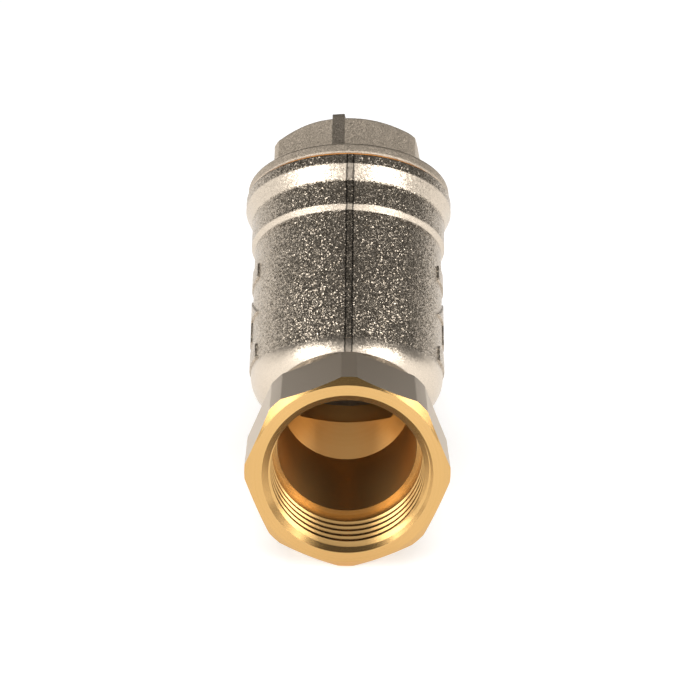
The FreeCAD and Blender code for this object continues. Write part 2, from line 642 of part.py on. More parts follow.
def make_spring():
    """Compression spring between the disc's back and the spokes."""
    low = size("seat_height") + size("seal_play") + size("seal_thick") + size("disc_thick")
    room = size("guide_land") - low
    wire = size("spring_wire")
    rise = room - wire - 2 * size("fit_play")
    turns = size("spring_turns")
    helix = Part.makeHelix(rise / turns, rise, size("spring_radius"))
    section = Part.Wire(Part.makeCircle(wire / 2, FreeCAD.Vector(size("spring_radius"), 0, 0),
                                        FreeCAD.Vector(0, 1, 0)))
    coil = Part.Wire(helix).makePipeShell([section], True, True)
    spring = doc.addObject("Part::Feature", "check_spring")
    spring.Label = "check_spring"
    spring.Shape = coil
    spring.Placement = FreeCAD.Placement(
        FreeCAD.Vector(0, size("nest_start") + low + wire / 2 + size("fit_play"), 0),
        FreeCAD.Rotation(FreeCAD.Vector(1, 0, 0), -90))
    return spring


def make_clip():
    """Retaining ring, open at the bottom so that it can be squeezed in."""
    body = turned("retaining_ring", "nest_start + guide_land + guide_thick + clip_play", [
        ("clip_in", "0"), ("clip_out", "0"), ("clip_out", "clip_thick"), ("clip_in", "clip_thick")])
    gap = outline(body, "gap_outline", "XY_Plane", [
        ("-clip_gap / 2", "0"), ("clip_gap / 2", "0"), ("clip_gap / 2", "2 * clip_out"),
        ("-clip_gap / 2", "2 * clip_out")])
    slot = body.newObject("PartDesign::Pocket", "gap")
    slot.Profile = gap
    slot.SideType = "Symmetric"
    bind(slot, Length="4 * clip_thick")
    return body


# ---------------------------------------------------------------- the assembly

seat = "nest_start + seat_height + seal_play"
oring_mean = "(nest_radius + oring_root) / 2"
pieces = [
    make_valve_body(),
    make_cap(),
    make_gasket(),
    make_screen(),
    make_housing(),
    make_ring("housing_o_ring", "nest_start + oring_place", oring_mean, "oring_thick"),
    make_poppet(),
    turned("poppet_seal", seat, [
        ("seal_hole", "0"), ("seal_radius", "0"), ("seal_radius", "seal_thick"),
        ("seal_hole", "seal_thick")]),
    turned("seal_keeper", seat, [
        ("spigot_radius", "-keeper_thick"), ("keeper_radius - keeper_bevel", "-keeper_thick"),
        ("keeper_radius", "keeper_bevel - keeper_thick"), ("keeper_radius", "0"),
        ("spigot_radius", "0")]),
    make_guide(),
    make_spring(),
    make_clip(),
]

doc.recompute()
faults = [item.Name for item in doc.Objects
          if "Invalid" in item.State or "Error" in item.State]
if faults:
    raise RuntimeError(f"failed to recompute: {faults}")
for piece in pieces:
    if piece.Shape.isNull() or not piece.Shape.isValid():
        raise RuntimeError(f"bad shape: {piece.Label}")

os.makedirs("parts", exist_ok=True)
for piece in pieces:
    piece.Shape.exportStep(f"parts/{piece.Label}.step")
    solids = len(piece.Shape.Solids)
    print(f"{piece.Label}: {solids} solid, {piece.Shape.Volume:.1f} mm3")
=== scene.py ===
"""Dresses a G1 strainer check valve: plated forging, turned brass, screen, cartridge and studio."""

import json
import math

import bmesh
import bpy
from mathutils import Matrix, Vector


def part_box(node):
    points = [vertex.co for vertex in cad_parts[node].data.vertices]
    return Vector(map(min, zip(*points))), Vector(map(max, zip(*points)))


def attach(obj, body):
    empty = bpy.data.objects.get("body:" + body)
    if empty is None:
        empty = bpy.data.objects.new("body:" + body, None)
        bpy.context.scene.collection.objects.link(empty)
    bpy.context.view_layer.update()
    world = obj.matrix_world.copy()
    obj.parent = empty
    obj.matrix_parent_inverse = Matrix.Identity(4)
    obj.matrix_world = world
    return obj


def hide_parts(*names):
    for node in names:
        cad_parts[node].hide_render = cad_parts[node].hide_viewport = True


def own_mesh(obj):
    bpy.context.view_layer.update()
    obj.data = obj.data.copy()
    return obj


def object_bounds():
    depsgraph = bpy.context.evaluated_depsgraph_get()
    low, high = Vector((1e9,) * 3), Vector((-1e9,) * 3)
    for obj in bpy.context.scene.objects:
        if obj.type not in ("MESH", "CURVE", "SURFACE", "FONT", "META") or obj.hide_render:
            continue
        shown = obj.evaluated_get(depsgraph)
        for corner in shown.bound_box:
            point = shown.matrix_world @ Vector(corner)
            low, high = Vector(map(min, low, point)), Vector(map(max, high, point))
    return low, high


bl_info = {
    "name": "Strainer Check Valve",
    "version": (1, 0, 0),
    "blender": (4, 5, 0),
    "location": "3D View > Sidebar > Valve",
    "description": "Finishes, screen, spring and studio for a brass strainer check valve",
    "category": "Object",
}

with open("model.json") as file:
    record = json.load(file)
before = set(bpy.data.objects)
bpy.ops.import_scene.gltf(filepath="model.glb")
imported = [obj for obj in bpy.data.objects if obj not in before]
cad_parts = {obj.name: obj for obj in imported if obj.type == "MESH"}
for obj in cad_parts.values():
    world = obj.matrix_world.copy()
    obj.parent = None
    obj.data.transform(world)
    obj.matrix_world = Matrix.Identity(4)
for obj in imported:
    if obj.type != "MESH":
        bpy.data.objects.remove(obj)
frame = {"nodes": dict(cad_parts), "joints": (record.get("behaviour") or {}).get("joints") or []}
CAD_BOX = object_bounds()

MM = 0.001
LOW, HIGH = CAD_BOX
LENGTH = HIGH.y - LOW.y
JOINTS = {joint["name"]: joint for joint in frame["joints"]}
LEAN = Vector(JOINTS["cap_turn"]["axis"]).normalized()      # direction of the branch
CROSSING = Vector((0, JOINTS["cap_turn"]["pos_m"][1] - JOINTS["cap_turn"]["pos_m"][2], 0))
COLLAR_TOP = (Vector(JOINTS["cap_turn"]["pos_m"]) - CROSSING).length

# The body, measured from its end faces and from the flow axis
BORE_REACH = 16.8 * MM          # widest turned surface inside the ends
LEAD_REACH = 17.3 * MM          # outer edge of the lead-in bevel
LEAD_DEPTH = 1.0 * MM
BEVEL_START = 19.1 * MM         # where the octagon's corners start to be turned off
BEVEL_SLOPE = 1.10 / 1.40       # depth of that bevel over its width
SKIN = 0.03 * MM                # how far a turned face reaches past its own plane
DRILL_REACH = 14.9 * MM
DRILL_START = 14.4 * MM
OCTAGON_LENGTH = 15.3 * MM

# The branch, measured up it from the flow axis and away from its own axis
CHAMBER_REACH = 17.3 * MM
CHAMBER_FOOT = 1.3 * MM
NUT_REACH = 19.5 * MM           # the cap's thread in the body
NUT_START = 37.5 * MM
COLLAR_REACH = 22.8 * MM        # the flat that the gasket sits on
FOOT_LOW, FOOT_HIGH = 6.4 * MM, 7.6 * MM    # the barrel's smooth foot ends between these
FLARE_HEIGHT, FLARE_HALF = 45.9 * MM, 1.6 * MM
SHOULDER_HEIGHT, SHOULDER_HALF = 37.7 * MM, 0.6 * MM

# The flash line along the body and the barrel
SEAM_SIDE = 0.72 * MM           # from the middle to each of its edges
SEAM_SHARP = 1.4 * MM           # edges nearer the middle than this are left sharp
SEAM_WANDER = 0.5 * MM

# The cap
THREAD_TOP = 0.6 * MM           # bare brass reaches this far above the collar
SOCKET_REACH, SOCKET_TOP = 13.9 * MM, 8 * MM
STRIP_TURN = math.radians(81.5)     # where the forging strip lies, round the cap's axis
STRIP_HALF = 1.37 * MM
STRIP_INNER = 16.1 * MM
STRIP_FOOT = 3.1 * MM

# How much of the blasting is left
TRIMMED_END = -0.82             # change on the octagons, which were trimmed
TRIMMED_RING = -0.6             # change on the flare and the shoulder
CAP_BLASTING = 0.55


# ---------------------------------------------------------------- sizes and colours

class FinishSettings(bpy.types.PropertyGroup):
    """Colours of the finishes, and how coarse the blasted grain is."""
    nickel: bpy.props.StringProperty(
        name="Nickel", description="Shot-blasted nickel plate, sRGB hex", default="#DCCEBC")
    # Dark specks mixed into the plate's colour: partly blasted grain, partly painted shade standing
    # in for dimples that mirror the dark ceiling.
    nickel_speck_shade: bpy.props.StringProperty(
        name="Grain", description="Plate in the bottoms of the dimples, sRGB hex",
        default="#66573F")
    brass: bpy.props.StringProperty(
        name="Brass", description="Fresh-turned brass, sRGB hex", default="#D0A86E")
    brass_deep: bpy.props.StringProperty(
        name="Brass rings", description="Brass in the tool marks, sRGB hex", default="#C99F62")
    fibre: bpy.props.StringProperty(
        name="Gasket", description="Pressed fibre, sRGB hex", default="#C27C2C")
    steel: bpy.props.StringProperty(
        name="Steel", description="Stainless steel, sRGB hex", default="#B9B4AC")
    acetal: bpy.props.StringProperty(
        name="Acetal", description="Natural acetal, sRGB hex", default="#E9E6DC")
    nitrile: bpy.props.StringProperty(
        name="Rubber", description="Nitrile rubber, sRGB hex", default="#1D1C1B")
    grain: bpy.props.FloatProperty(
        name="Dimple", description="Size of a blasted dimple", default=0.22 * MM, unit="LENGTH",
        precision=5)


class ScreenSettings(bpy.types.PropertyGroup):
    """Perforation of the strainer screen."""
    across: bpy.props.FloatProperty(
        name="Across", description="Hole spacing round the tube", default=2.05 * MM,
        unit="LENGTH", precision=5)
    along: bpy.props.FloatProperty(
        name="Along", description="Spacing of the staggered rows", default=0.95 * MM,
        unit="LENGTH", precision=5)
    hole: bpy.props.FloatProperty(
        name="Hole", description="Hole diameter", default=0.95 * MM, unit="LENGTH", precision=5)
    sheet: bpy.props.FloatProperty(
        name="Sheet", description="Sheet thickness", default=0.45 * MM, unit="LENGTH",
        precision=5)


class SpringSettings(bpy.types.PropertyGroup):
    """The check spring."""
    wire: bpy.props.FloatProperty(
        name="Wire", description="Wire diameter", default=0.8 * MM, unit="LENGTH", precision=5)
    turns: bpy.props.FloatProperty(name="Turns", description="Active turns", default=3.2)


class StageSettings(bpy.types.PropertyGroup):
    """Camera and studio."""
    elevation: bpy.props.FloatProperty(
        name="Elevation", description="Camera height above the horizon",
        default=math.radians(20.11), subtype="ANGLE")
    azimuth: bpy.props.FloatProperty(
        name="Azimuth", description="Camera turn off the flow axis",
        default=math.radians(-0.80), subtype="ANGLE")
    roll: bpy.props.FloatProperty(
        name="Roll", description="Camera roll", default=math.radians(1.157), subtype="ANGLE")
    distance: bpy.props.FloatProperty(
        name="Distance", description="Camera to the aim point", default=376.3 * MM,
        unit="LENGTH")
    lens: bpy.props.FloatProperty(
        name="Lens", description="Focal length in millimetres on a 36 mm sensor", default=94.6)
    aim_forward: bpy.props.FloatProperty(
        name="Aim forward", description="Aim point behind the inlet face", default=20 * MM,
        unit="LENGTH", precision=5)
    aim_up: bpy.props.FloatProperty(
        name="Aim up", description="Aim point above the flow axis", default=19.125 * MM,
        unit="LENGTH", precision=5)
    aim_side: bpy.props.FloatProperty(
        name="Aim side", description="Aim point beside the flow axis", default=0.28 * MM,
        unit="LENGTH", precision=5)


# ---------------------------------------------------------------- material helpers

def linear(text):
    """An sRGB hex colour as linear red, green, blue and alpha."""
    channels = [int(text[place:place + 2], 16) / 255 for place in (1, 3, 5)]
    return [value / 12.92 if value <= 0.04045 else ((value + 0.055) / 1.055) ** 2.4
            for value in channels] + [1.0]


def add_node(tree, kind, settings=None, **inputs):
    """Add one node; inputs are values or output sockets, named or numbered as i0, i1."""
    node = tree.nodes.new(kind)
    for name, value in (settings or {}).items():
        setattr(node, name, value)
    for name, value in inputs.items():
        key = int(name[1:]) if name[0] == "i" and name[1:].isdigit() else name.replace("_", " ")
        socket = node.inputs[key]
        if isinstance(value, bpy.types.NodeSocket):
            tree.links.new(value, socket)
        else:
            socket.default_value = value
    return node


def maths(tree, operation, first, second=0.0, third=0.0):
    """A scalar sum on sockets or numbers."""
    return add_node(tree, "ShaderNodeMath", {"operation": operation},
                    i0=first, i1=second, i2=third).outputs[0]


def new_material(name):
    """An empty material with its tree, shader and the position in the row frame."""
    material = bpy.data.materials.new(name)
    material.use_nodes = True
    tree = material.node_tree
    tree.nodes.clear()
    output = tree.nodes.new("ShaderNodeOutputMaterial")
    place = tree.nodes.new("ShaderNodeTexCoord").outputs["Object"]
    return material, tree, output, place


def dress(node, material):
    """Give a CAD node one material."""
    target = frame["nodes"][node]
    target.data.materials.clear()
    target.data.materials.append(material)


# ---------------------------------------------------------------- the finishes

def axis_fields(tree, place, start, direction):
    """Distance along an axis and distance from it, in metres, as two sockets."""
    offset = add_node(tree, "ShaderNodeVectorMath", {"operation": "SUBTRACT"},
                      i0=place, i1=start).outputs[0]
    along = add_node(tree, "ShaderNodeVectorMath", {"operation": "DOT_PRODUCT"},
                     i0=offset, i1=direction).outputs["Value"]
    cross = add_node(tree, "ShaderNodeVectorMath", {"operation": "CROSS_PRODUCT"},
                     i0=offset, i1=direction).outputs[0]
    away = add_node(tree, "ShaderNodeVectorMath", {"operation": "LENGTH"},
                    i0=cross).outputs["Value"]
    return along, away


def blasted_nickel(tree, place, settings, rough_cast, round_over=0.5 * MM, shade=1.0,
                   roughness=0.33):
    """Nickel plate over a shot-blasted forging: each dimple mirrors its own bit of the room.

    rough_cast is 1 on the raw forging and falls towards 0 where it was trimmed or turned,
    round_over is the radius of its edges, and shade scales the colour down where shade is painted
    in: along the flash line, and on the cap's forging strip.
    """
    # The grain is near the coarse end of real shot blasting, since a finer one wouldn't show.
    grain = settings.grain
    dimple = add_node(tree, "ShaderNodeTexVoronoi", Vector=place, Scale=1 / grain)
    speck = add_node(tree, "ShaderNodeTexNoise", Vector=place, Scale=1.6 / grain,
                     Detail=1.0).outputs[0]
    dents = add_node(tree, "ShaderNodeTexNoise", Vector=place, Scale=1 / (5 * grain),
                     Detail=2.0).outputs[0]
    # Random dark specks in the colour: partly grain, partly painted shade for dimples that mirror
    # the dark ceiling; fewer where the forging was trimmed or turned.
    painted_speck = add_node(tree, "ShaderNodeMapRange", Value=speck, From_Min=0.38, From_Max=0.52)
    tint = maths(tree, "SUBTRACT", 1.0, maths(tree, "MULTIPLY", rough_cast, maths(
        tree, "SUBTRACT", 1.0, painted_speck.outputs[0])))
    colour = add_node(tree, "ShaderNodeMix", {"data_type": "RGBA"}, Factor=tint,
                      i6=linear(settings.nickel_speck_shade), i7=linear(settings.nickel)).outputs[2]
    colour = add_node(tree, "ShaderNodeVectorMath", {"operation": "SCALE"}, i0=colour,
                      Scale=shade).outputs[0]
    soft_edge = add_node(tree, "ShaderNodeBevel", {"samples": 4}, Radius=round_over).outputs[0]
    tip = add_node(tree, "ShaderNodeVectorMath", {"operation": "SUBTRACT"},
                   i0=dimple.outputs["Color"], i1=(0.5, 0.5, 0.5)).outputs[0]
    tip = add_node(tree, "ShaderNodeVectorMath", {"operation": "SCALE"}, i0=tip,
                   Scale=maths(tree, "MULTIPLY", rough_cast, 0.52)).outputs[0]
    facet = add_node(tree, "ShaderNodeVectorMath", {"operation": "ADD"}, i0=soft_edge,
                     i1=tip).outputs[0]
    facet = add_node(tree, "ShaderNodeVectorMath", {"operation": "NORMALIZE"},
                     i0=facet).outputs[0]
    bump = add_node(tree, "ShaderNodeBump", Strength=rough_cast, Distance=0.35 * grain,
                    Height=dents, Normal=facet).outputs[0]
    return add_node(tree, "ShaderNodeBsdfPrincipled", Base_Color=colour, Metallic=1.0,
                    Roughness=roughness, Normal=bump).outputs[0]


def turned_brass(tree, place, settings, along, away, axis, roughness=0.24):
    """Free-cutting brass straight off the lathe: fine rings that draw the light out in fans.

    axis is the lathe axis as a point and a direction. The roughness is a number, or a socket
    where a drilled bore is rougher than the turned face beside it.
    """
    start, direction = axis
    ring = maths(tree, "ADD", along, away)
    lines = add_node(tree, "ShaderNodeTexNoise", {"noise_dimensions": "1D"}, W=ring,
                     Scale=1 / (0.35 * MM), Detail=3.0, Roughness=0.6).outputs[0]
    colour = add_node(tree, "ShaderNodeMix", {"data_type": "RGBA"}, Factor=lines,
                      i6=linear(settings.brass_deep), i7=linear(settings.brass)).outputs[2]
    bump = add_node(tree, "ShaderNodeBump", Strength=0.35, Distance=0.02 * MM,
                    Height=lines).outputs[0]
    offset = add_node(tree, "ShaderNodeVectorMath", {"operation": "SUBTRACT"},
                      i0=place, i1=start).outputs[0]
    round_way = add_node(tree, "ShaderNodeVectorMath", {"operation": "CROSS_PRODUCT"},
                         i0=offset, i1=direction).outputs[0]
    round_way = add_node(tree, "ShaderNodeVectorMath", {"operation": "NORMALIZE"},
                         i0=round_way).outputs[0]
    return add_node(tree, "ShaderNodeBsdfPrincipled", Base_Color=colour, Metallic=1.0,
                    Roughness=roughness,
                    Anisotropic=0.85, Anisotropic_Rotation=0.25, Normal=bump,
                    Tangent=round_way).outputs[0]


def below(tree, value, limit):
    """1 where a socket is below a limit."""
    return maths(tree, "LESS_THAN", value, limit)


def body_material(settings):
    """The body: plated outside, bare turned brass on its end faces, bevels and bores."""
    # Hot-forged brass, shot blasted and nickel plated: a warm grey that sparkles dimple by
    # dimple. The bores and end faces were turned after plating, so they are bare and yellow.
    material, tree, output, place = new_material("plated_forging_with_turned_bores")
    along, away = axis_fields(tree, place, (0, 0, 0), (0, 1, 0))
    height, spread = axis_fields(tree, place, CROSSING, LEAN)
    from_end = maths(tree, "MINIMUM", along, maths(tree, "SUBTRACT", LENGTH, along))
    bores = maths(tree, "MAXIMUM", below(tree, away, BORE_REACH), maths(
        tree, "MULTIPLY", below(tree, away, LEAD_REACH), below(tree, from_end, LEAD_DEPTH)))
    bevel_line = maths(tree, "MULTIPLY_ADD", maths(tree, "SUBTRACT", away, BEVEL_START),
                       BEVEL_SLOPE, SKIN)
    bevel = below(tree, from_end, maths(tree, "MAXIMUM", bevel_line, SKIN))
    chamber = maths(tree, "MULTIPLY", below(tree, spread, CHAMBER_REACH),
                    maths(tree, "GREATER_THAN", height, CHAMBER_FOOT))
    nut = maths(tree, "MULTIPLY", below(tree, spread, NUT_REACH),
                maths(tree, "GREATER_THAN", height, NUT_START))
    top = maths(tree, "MULTIPLY", below(tree, spread, COLLAR_REACH),
                maths(tree, "GREATER_THAN", height, COLLAR_TOP - SKIN))
    mask = bores
    for other in (bevel, chamber, nut, top):
        mask = maths(tree, "MAXIMUM", mask, other)
    drilled = maths(tree, "MULTIPLY", below(tree, away, DRILL_REACH),
                    maths(tree, "GREATER_THAN", from_end, DRILL_START))
    side = maths(tree, "ABSOLUTE", add_node(tree, "ShaderNodeSeparateXYZ", i0=place).outputs[0])
    end = below(tree, from_end, OCTAGON_LENGTH)
    foot = add_node(tree, "ShaderNodeMapRange", Value=height, From_Min=FOOT_LOW,
                    From_Max=FOOT_HIGH, To_Min=0.25, To_Max=1.0).outputs[0]
    flare, shoulder = (
        below(tree, maths(tree, "ABSOLUTE", maths(tree, "SUBTRACT", height, middle)), half)
        for middle, half in ((FLARE_HEIGHT, FLARE_HALF), (SHOULDER_HEIGHT, SHOULDER_HALF)))
    rough_cast = maths(tree, "MULTIPLY", foot, maths(
        tree, "MULTIPLY_ADD", maths(tree, "MAXIMUM", flare, shoulder), TRIMMED_RING, 1.0))
    rough_cast = maths(tree, "MULTIPLY", rough_cast, maths(
        tree, "MULTIPLY_ADD", end, TRIMMED_END, 1.0))
    # Painted shade along the flash line: two dark lines with a darker band between them, standing
    # in for the dark ceiling that the raised ridge reflects.
    wander = add_node(tree, "ShaderNodeTexNoise", Vector=place, Scale=1 / (1.2 * MM),
                      Detail=2.0).outputs[0]
    seam = maths(tree, "MULTIPLY_ADD", wander, SEAM_WANDER,
                 maths(tree, "SUBTRACT", side, SEAM_WANDER / 2))
    shade = add_node(tree, "ShaderNodeMapRange", Value=maths(tree, "ABSOLUTE", maths(
        tree, "SUBTRACT", seam, SEAM_SIDE)), From_Min=0.10 * MM, From_Max=0.24 * MM,
        To_Min=0.22, To_Max=1.0).outputs[0]
    shade = maths(tree, "MULTIPLY", shade, maths(
        tree, "MULTIPLY_ADD", below(tree, seam, SEAM_SIDE), -0.35, 1.0))
    shade = maths(tree, "MAXIMUM", shade, end)
    round_over = maths(tree, "MULTIPLY_ADD", below(tree, side, SEAM_SHARP), -0.42 * MM, 0.5 * MM)
    mix = add_node(tree, "ShaderNodeMixShader", Fac=mask,
                   i1=blasted_nickel(tree, place, settings, rough_cast, round_over, shade,
                                     maths(tree, "MULTIPLY_ADD", end, 0.25, 0.33)),
                   i2=turned_brass(tree, place, settings, along, away,
                                   ((0, 0, 0), (0, 1, 0)),
                                   maths(tree, "MULTIPLY_ADD", drilled, 0.10, 0.24)))
    tree.links.new(mix.outputs[0], output.inputs[0])
    return material


def cap_material(settings):
    """The cap: plated above its seat, turned brass on the thread and in the socket."""
    # The same plated forging, blasted more lightly: a duller grey, with painted shade halving the
    # colour on the trimmed forging strip.
    material, tree, output, place = new_material("plated_cap_with_turned_thread")
    height, spread = axis_fields(tree, place, CROSSING, LEAN)
    thread = below(tree, height, COLLAR_TOP + THREAD_TOP)
    socket = maths(tree, "MULTIPLY", below(tree, spread, SOCKET_REACH),
                   below(tree, height, COLLAR_TOP + SOCKET_TOP))
    mask = maths(tree, "MAXIMUM", thread, socket)
    across = Vector((1, 0, 0))
    beside = LEAN.cross(across) * math.cos(STRIP_TURN) - across * math.sin(STRIP_TURN)
    strip_side = add_node(tree, "ShaderNodeVectorMath", {"operation": "DOT_PRODUCT"}, i0=place,
                          i1=beside).outputs["Value"]
    strip_side = maths(tree, "ABSOLUTE", maths(tree, "SUBTRACT", strip_side, CROSSING.dot(beside)))
    strip = maths(tree, "MULTIPLY", below(tree, strip_side, STRIP_HALF),
                  maths(tree, "GREATER_THAN", spread, STRIP_INNER))
    strip = maths(tree, "MULTIPLY", strip,
                  maths(tree, "GREATER_THAN", height, COLLAR_TOP + STRIP_FOOT))
    # Painted shade: the forging strip's colour is halved, standing in for the darker light on that
    # face.
    shade = maths(tree, "MULTIPLY_ADD", strip, -0.5, 1.0)
    mix = add_node(tree, "ShaderNodeMixShader", Fac=mask,
                   i1=blasted_nickel(tree, place, settings, CAP_BLASTING, shade=shade,
                                     roughness=0.60),
                   i2=turned_brass(tree, place, settings, height, spread, (CROSSING, LEAN)))
    tree.links.new(mix.outputs[0], output.inputs[0])
    return material


def brass_material(settings):
    """Turned brass of the cartridge."""
    # Free-cutting brass off the lathe: yellow, with light drawn out across the tool marks.
    material, tree, output, place = new_material("turned_brass")
    along, away = axis_fields(tree, place, (0, 0, 0), (0, 1, 0))
    tree.links.new(turned_brass(tree, place, settings, along, away, ((0, 0, 0), (0, 1, 0))),
                   output.inputs[0])
    return material


def plain_material(name, colour, metallic, roughness, scale_mm, depth_mm):
    """A finish of one colour with a fine grain of a given size and depth."""
    material, tree, output, place = new_material(name)
    grain = add_node(tree, "ShaderNodeTexNoise", Vector=place, Scale=1 / (scale_mm * MM),
                     Detail=3.0).outputs[0]
    shade = add_node(tree, "ShaderNodeMapRange", Value=grain, To_Min=0.88, To_Max=1.08).outputs[0]
    tint = add_node(tree, "ShaderNodeVectorMath", {"operation": "SCALE"},
                    i0=linear(colour)[:3], Scale=shade).outputs[0]
    bump = add_node(tree, "ShaderNodeBump", Strength=0.4, Distance=depth_mm * MM,
                    Height=grain).outputs[0]
    shader = add_node(tree, "ShaderNodeBsdfPrincipled", Base_Color=tint, Metallic=metallic,
                      Roughness=roughness, Normal=bump)
    tree.links.new(shader.outputs[0], output.inputs[0])
    return material


def settings_of(context):
    """The four groups of settings."""
    scene = context.scene
    return scene.valve_finish, scene.valve_screen, scene.valve_spring, scene.valve_stage


# ---------------------------------------------------------------- pieces

class VALVE_OT_forgings(bpy.types.Operator):
    """Finish the body and the cap"""
    bl_idname = "valve.forgings"
    bl_label = "Body and cap"

    def execute(self, context):
        finish = settings_of(context)[0]
        dress("valve_body", body_material(finish))
        dress("bonnet_cap", cap_material(finish))
        # Pressed fibre: matt orange-brown, slightly mottled.
        dress("cap_gasket", plain_material("pressed_fibre", finish.fibre, 0.0, 0.7, 0.3, 0.05))
        return {"FINISHED"}


class VALVE_OT_cartridge(bpy.types.Operator):
    """Finish the check cartridge"""
    bl_idname = "valve.cartridge"
    bl_label = "Check cartridge"

    def execute(self, context):
        finish = settings_of(context)[0]
        # Moulded acetal: milky white with a soft shine.
        acetal = plain_material("moulded_acetal", finish.acetal, 0.0, 0.45, 0.6, 0.01)
        # Moulded nitrile rubber: near black, with a dull sheen.
        nitrile = plain_material("moulded_nitrile", finish.nitrile, 0.0, 0.55, 0.4, 0.02)
        # Stamped stainless strip: bright grey metal with a faint grain.
        steel = plain_material("stainless_strip", finish.steel, 1.0, 0.28, 0.2, 0.01)
        dress("check_housing", brass_material(finish))
        for node in ("check_poppet", "check_guide"):
            dress(node, acetal)
        for node in ("poppet_seal", "housing_o_ring"):
            dress(node, nitrile)
        for node in ("seal_keeper", "retaining_ring"):
            dress(node, steel)
        return {"FINISHED"}


def link_piece(name, mesh, material):
    """Put a mesh in the scene as a named piece with a material."""
    piece = bpy.data.objects.new(name, mesh)
    bpy.context.scene.collection.objects.link(piece)
    mesh.materials.append(material)
    return piece


def perforated_tube(radius, length, screen):
    """A tube of diamond cells, each round a hole, closed by plain bands at both ends."""
    columns = round(2 * math.pi * radius / screen.across)
    wide = 2 * math.pi * radius / columns / 2
    rows = int((length - 2.5 * MM) / screen.along) // 2 * 2 + 1
    start = (length - (rows - 1) * screen.along) / 2
    mesh = bmesh.new()

    def vertex(across, up):
        angle = across / radius
        return mesh.verts.new((radius * math.cos(angle), radius * math.sin(angle), up))

    for row in range(rows):
        level = start + row * screen.along
        for column in range(columns):
            middle = (2 * column + row % 2) * wide
            rim = []
            edge = []
            for step in range(8):
                angle = step * math.pi / 4
                rim.append(vertex(middle + screen.hole / 2 * math.cos(angle),
                                  level + screen.hole / 2 * math.sin(angle)))
                reach = 1 / (abs(math.cos(angle)) / wide + abs(math.sin(angle)) / screen.along)
                edge.append(vertex(middle + reach * math.cos(angle),
                                   level + reach * math.sin(angle)))
            for step in range(8):
                following = (step + 1) % 8
                mesh.faces.new((rim[step], edge[step], edge[following], rim[following]))
    for level, far in ((start, 0.0), (start + (rows - 1) * screen.along, length)):
        for column in range(columns):
            middle = 2 * column * wide
            toward = -1 if far < level else 1
            ends = [vertex(middle + wide, level),
                    vertex(middle + wide / 2, level + toward * screen.along / 2),
                    vertex(middle, level + toward * screen.along),
                    vertex(middle - wide / 2, level + toward * screen.along / 2),
                    vertex(middle - wide, level)]
            base = [vertex(middle + wide * part, far) for part in (1, 0.5, 0, -0.5, -1)]
            for step in range(4):
                corners = [ends[step], ends[step + 1], base[step + 1], base[step]]
                mesh.faces.new(corners if toward > 0 else corners[::-1])
    bmesh.ops.remove_doubles(mesh, verts=mesh.verts, dist=0.02 * MM)
    bmesh.ops.recalc_face_normals(mesh, faces=mesh.faces)
    data = bpy.data.meshes.new("strainer_screen_mesh")
    mesh.to_mesh(data)
    mesh.free()
    return data


class VALVE_OT_screen(bpy.types.Operator):
    """Build the fine perforated screen"""
    bl_idname = "valve.screen"
    bl_label = "Strainer screen"

    def execute(self, context):
        finish, screen, _, _ = settings_of(context)
        points = [vertex.co for vertex in frame["nodes"]["strainer_screen"].data.vertices]
        heights = [(point - CROSSING).dot(LEAN) for point in points]
        foot, head = min(heights), max(heights)
        radius = max(point.x for point in points)
        # Punched stainless sheet: grey metal, dulled so that the holes stand out dark in it.
        steel = plain_material("perforated_stainless", finish.steel, 1.0, 0.5, 0.15, 0.01)
        data = perforated_tube(radius, head - foot, screen)
        turn = Vector((0, 0, 1)).rotation_difference(LEAN).to_matrix().to_4x4()
        data.transform(Matrix.Translation(CROSSING + LEAN * foot) @ turn)
        piece = link_piece("perforated_screen", data, steel)
        thick = piece.modifiers.new("Sheet", "SOLIDIFY")
        thick.thickness = screen.sheet
        thick.offset = -1
        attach(piece, "screen_lift")
        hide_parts("strainer_screen")
        return {"FINISHED"}


class VALVE_OT_spring(bpy.types.Operator):
    """Build the check spring with closed ends"""
    bl_idname = "valve.spring"
    bl_label = "Check spring"

    def execute(self, context):
        finish, _, spring, _ = settings_of(context)
        low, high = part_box("check_spring")
        radius = (high.x - low.x) / 2 - spring.wire / 2
        start, end = low.y + spring.wire / 2, high.y - spring.wire / 2
        closed = 0.75
        total = spring.turns + 2 * closed
        steps = int(total * 32)
        rise = (end - start) - 2 * closed * spring.wire * 0.6
        curve = bpy.data.curves.new("check_spring_wire", "CURVE")
        curve.dimensions = "3D"
        curve.bevel_depth = spring.wire / 2
        curve.bevel_resolution = 3
        curve.use_fill_caps = True
        line = curve.splines.new("POLY")
        line.points.add(steps)
        for step in range(steps + 1):
            turned = step / steps * total
            active = min(max(turned - closed, 0), spring.turns) / spring.turns
            dead = min(turned, closed) + max(turned - closed - spring.turns, 0)
            along = start + active * rise + dead * spring.wire * 0.6
            angle = 2 * math.pi * turned
            line.points[step].co = (radius * math.cos(angle), along, radius * math.sin(angle), 1)
        holder = bpy.data.objects.new("coil", curve)
        context.scene.collection.objects.link(holder)
        data = bpy.data.meshes.new_from_object(holder)
        bpy.data.objects.remove(holder)
        data.polygons.foreach_set("use_smooth", [True] * len(data.polygons))
        # Drawn stainless wire: smooth, with one bright line along each turn.
        steel = plain_material("drawn_spring_wire", finish.steel, 1.0, 0.25, 0.3, 0.005)
        data.materials.clear()
        piece = link_piece("check_spring_coil", data, steel)
        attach(piece, "valve")
        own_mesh(piece)
        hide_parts("check_spring")
        return {"FINISHED"}


# ---------------------------------------------------------------- studio

def area_light(name, place, aim, size, power):
    """A square soft light turned to a point."""
    data = bpy.data.lights.new(name, "AREA")
    data.shape = "SQUARE"
    data.size = size
    data.energy = power
    lamp = bpy.data.objects.new(name, data)
    lamp.location = place
    lamp.rotation_euler = (Vector(aim) - Vector(place)).to_track_quat("-Z", "Y").to_euler()
    bpy.context.scene.collection.objects.link(lamp)


